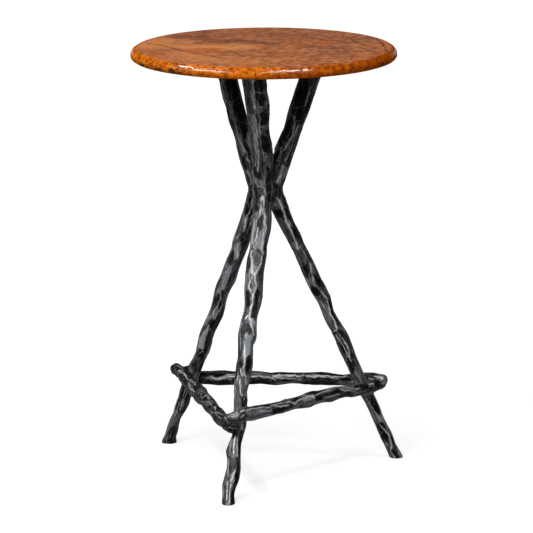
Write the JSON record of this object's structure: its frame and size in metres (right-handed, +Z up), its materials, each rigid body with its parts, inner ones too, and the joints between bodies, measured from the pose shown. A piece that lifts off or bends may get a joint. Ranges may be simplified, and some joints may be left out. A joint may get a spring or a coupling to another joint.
{
  "type": "round side table",
  "caption": "Tall round side table: a burl wood top on hammered iron bar legs that pinch together at a narrow waist, tied near the floor by a triangle of stretcher bars.",
  "frame": {"origin": "on the floor, on the table's vertical axis, midway between the three feet", "axes": "+Z up through the centre of the top; the front leg points along -Y"},
  "size_m": [0.4059, 0.4298, 0.66],
  "materials": {
    "wood": "amber burl wood under a glossy clear coat",
    "iron": "hammered black iron with burnished grey ridges, waxed",
    "plate_steel": "satin black paint",
    "zinc": "dull zinc plate"
  },
  "bodies": {
    "root": {"tabletop": "wood", "mounting_plate": "plate_steel", "plate_screws": "zinc", "leg_front": "iron", "leg_left": "iron", "leg_right": "iron", "stretcher_back": "iron", "stretcher_left": "iron", "stretcher_right": "iron", "plate_welds": "iron", "waist_welds": "iron", "corner_welds_front": "iron", "corner_welds_left": "iron", "corner_welds_right": "iron"}
  },
  "joints": []
}
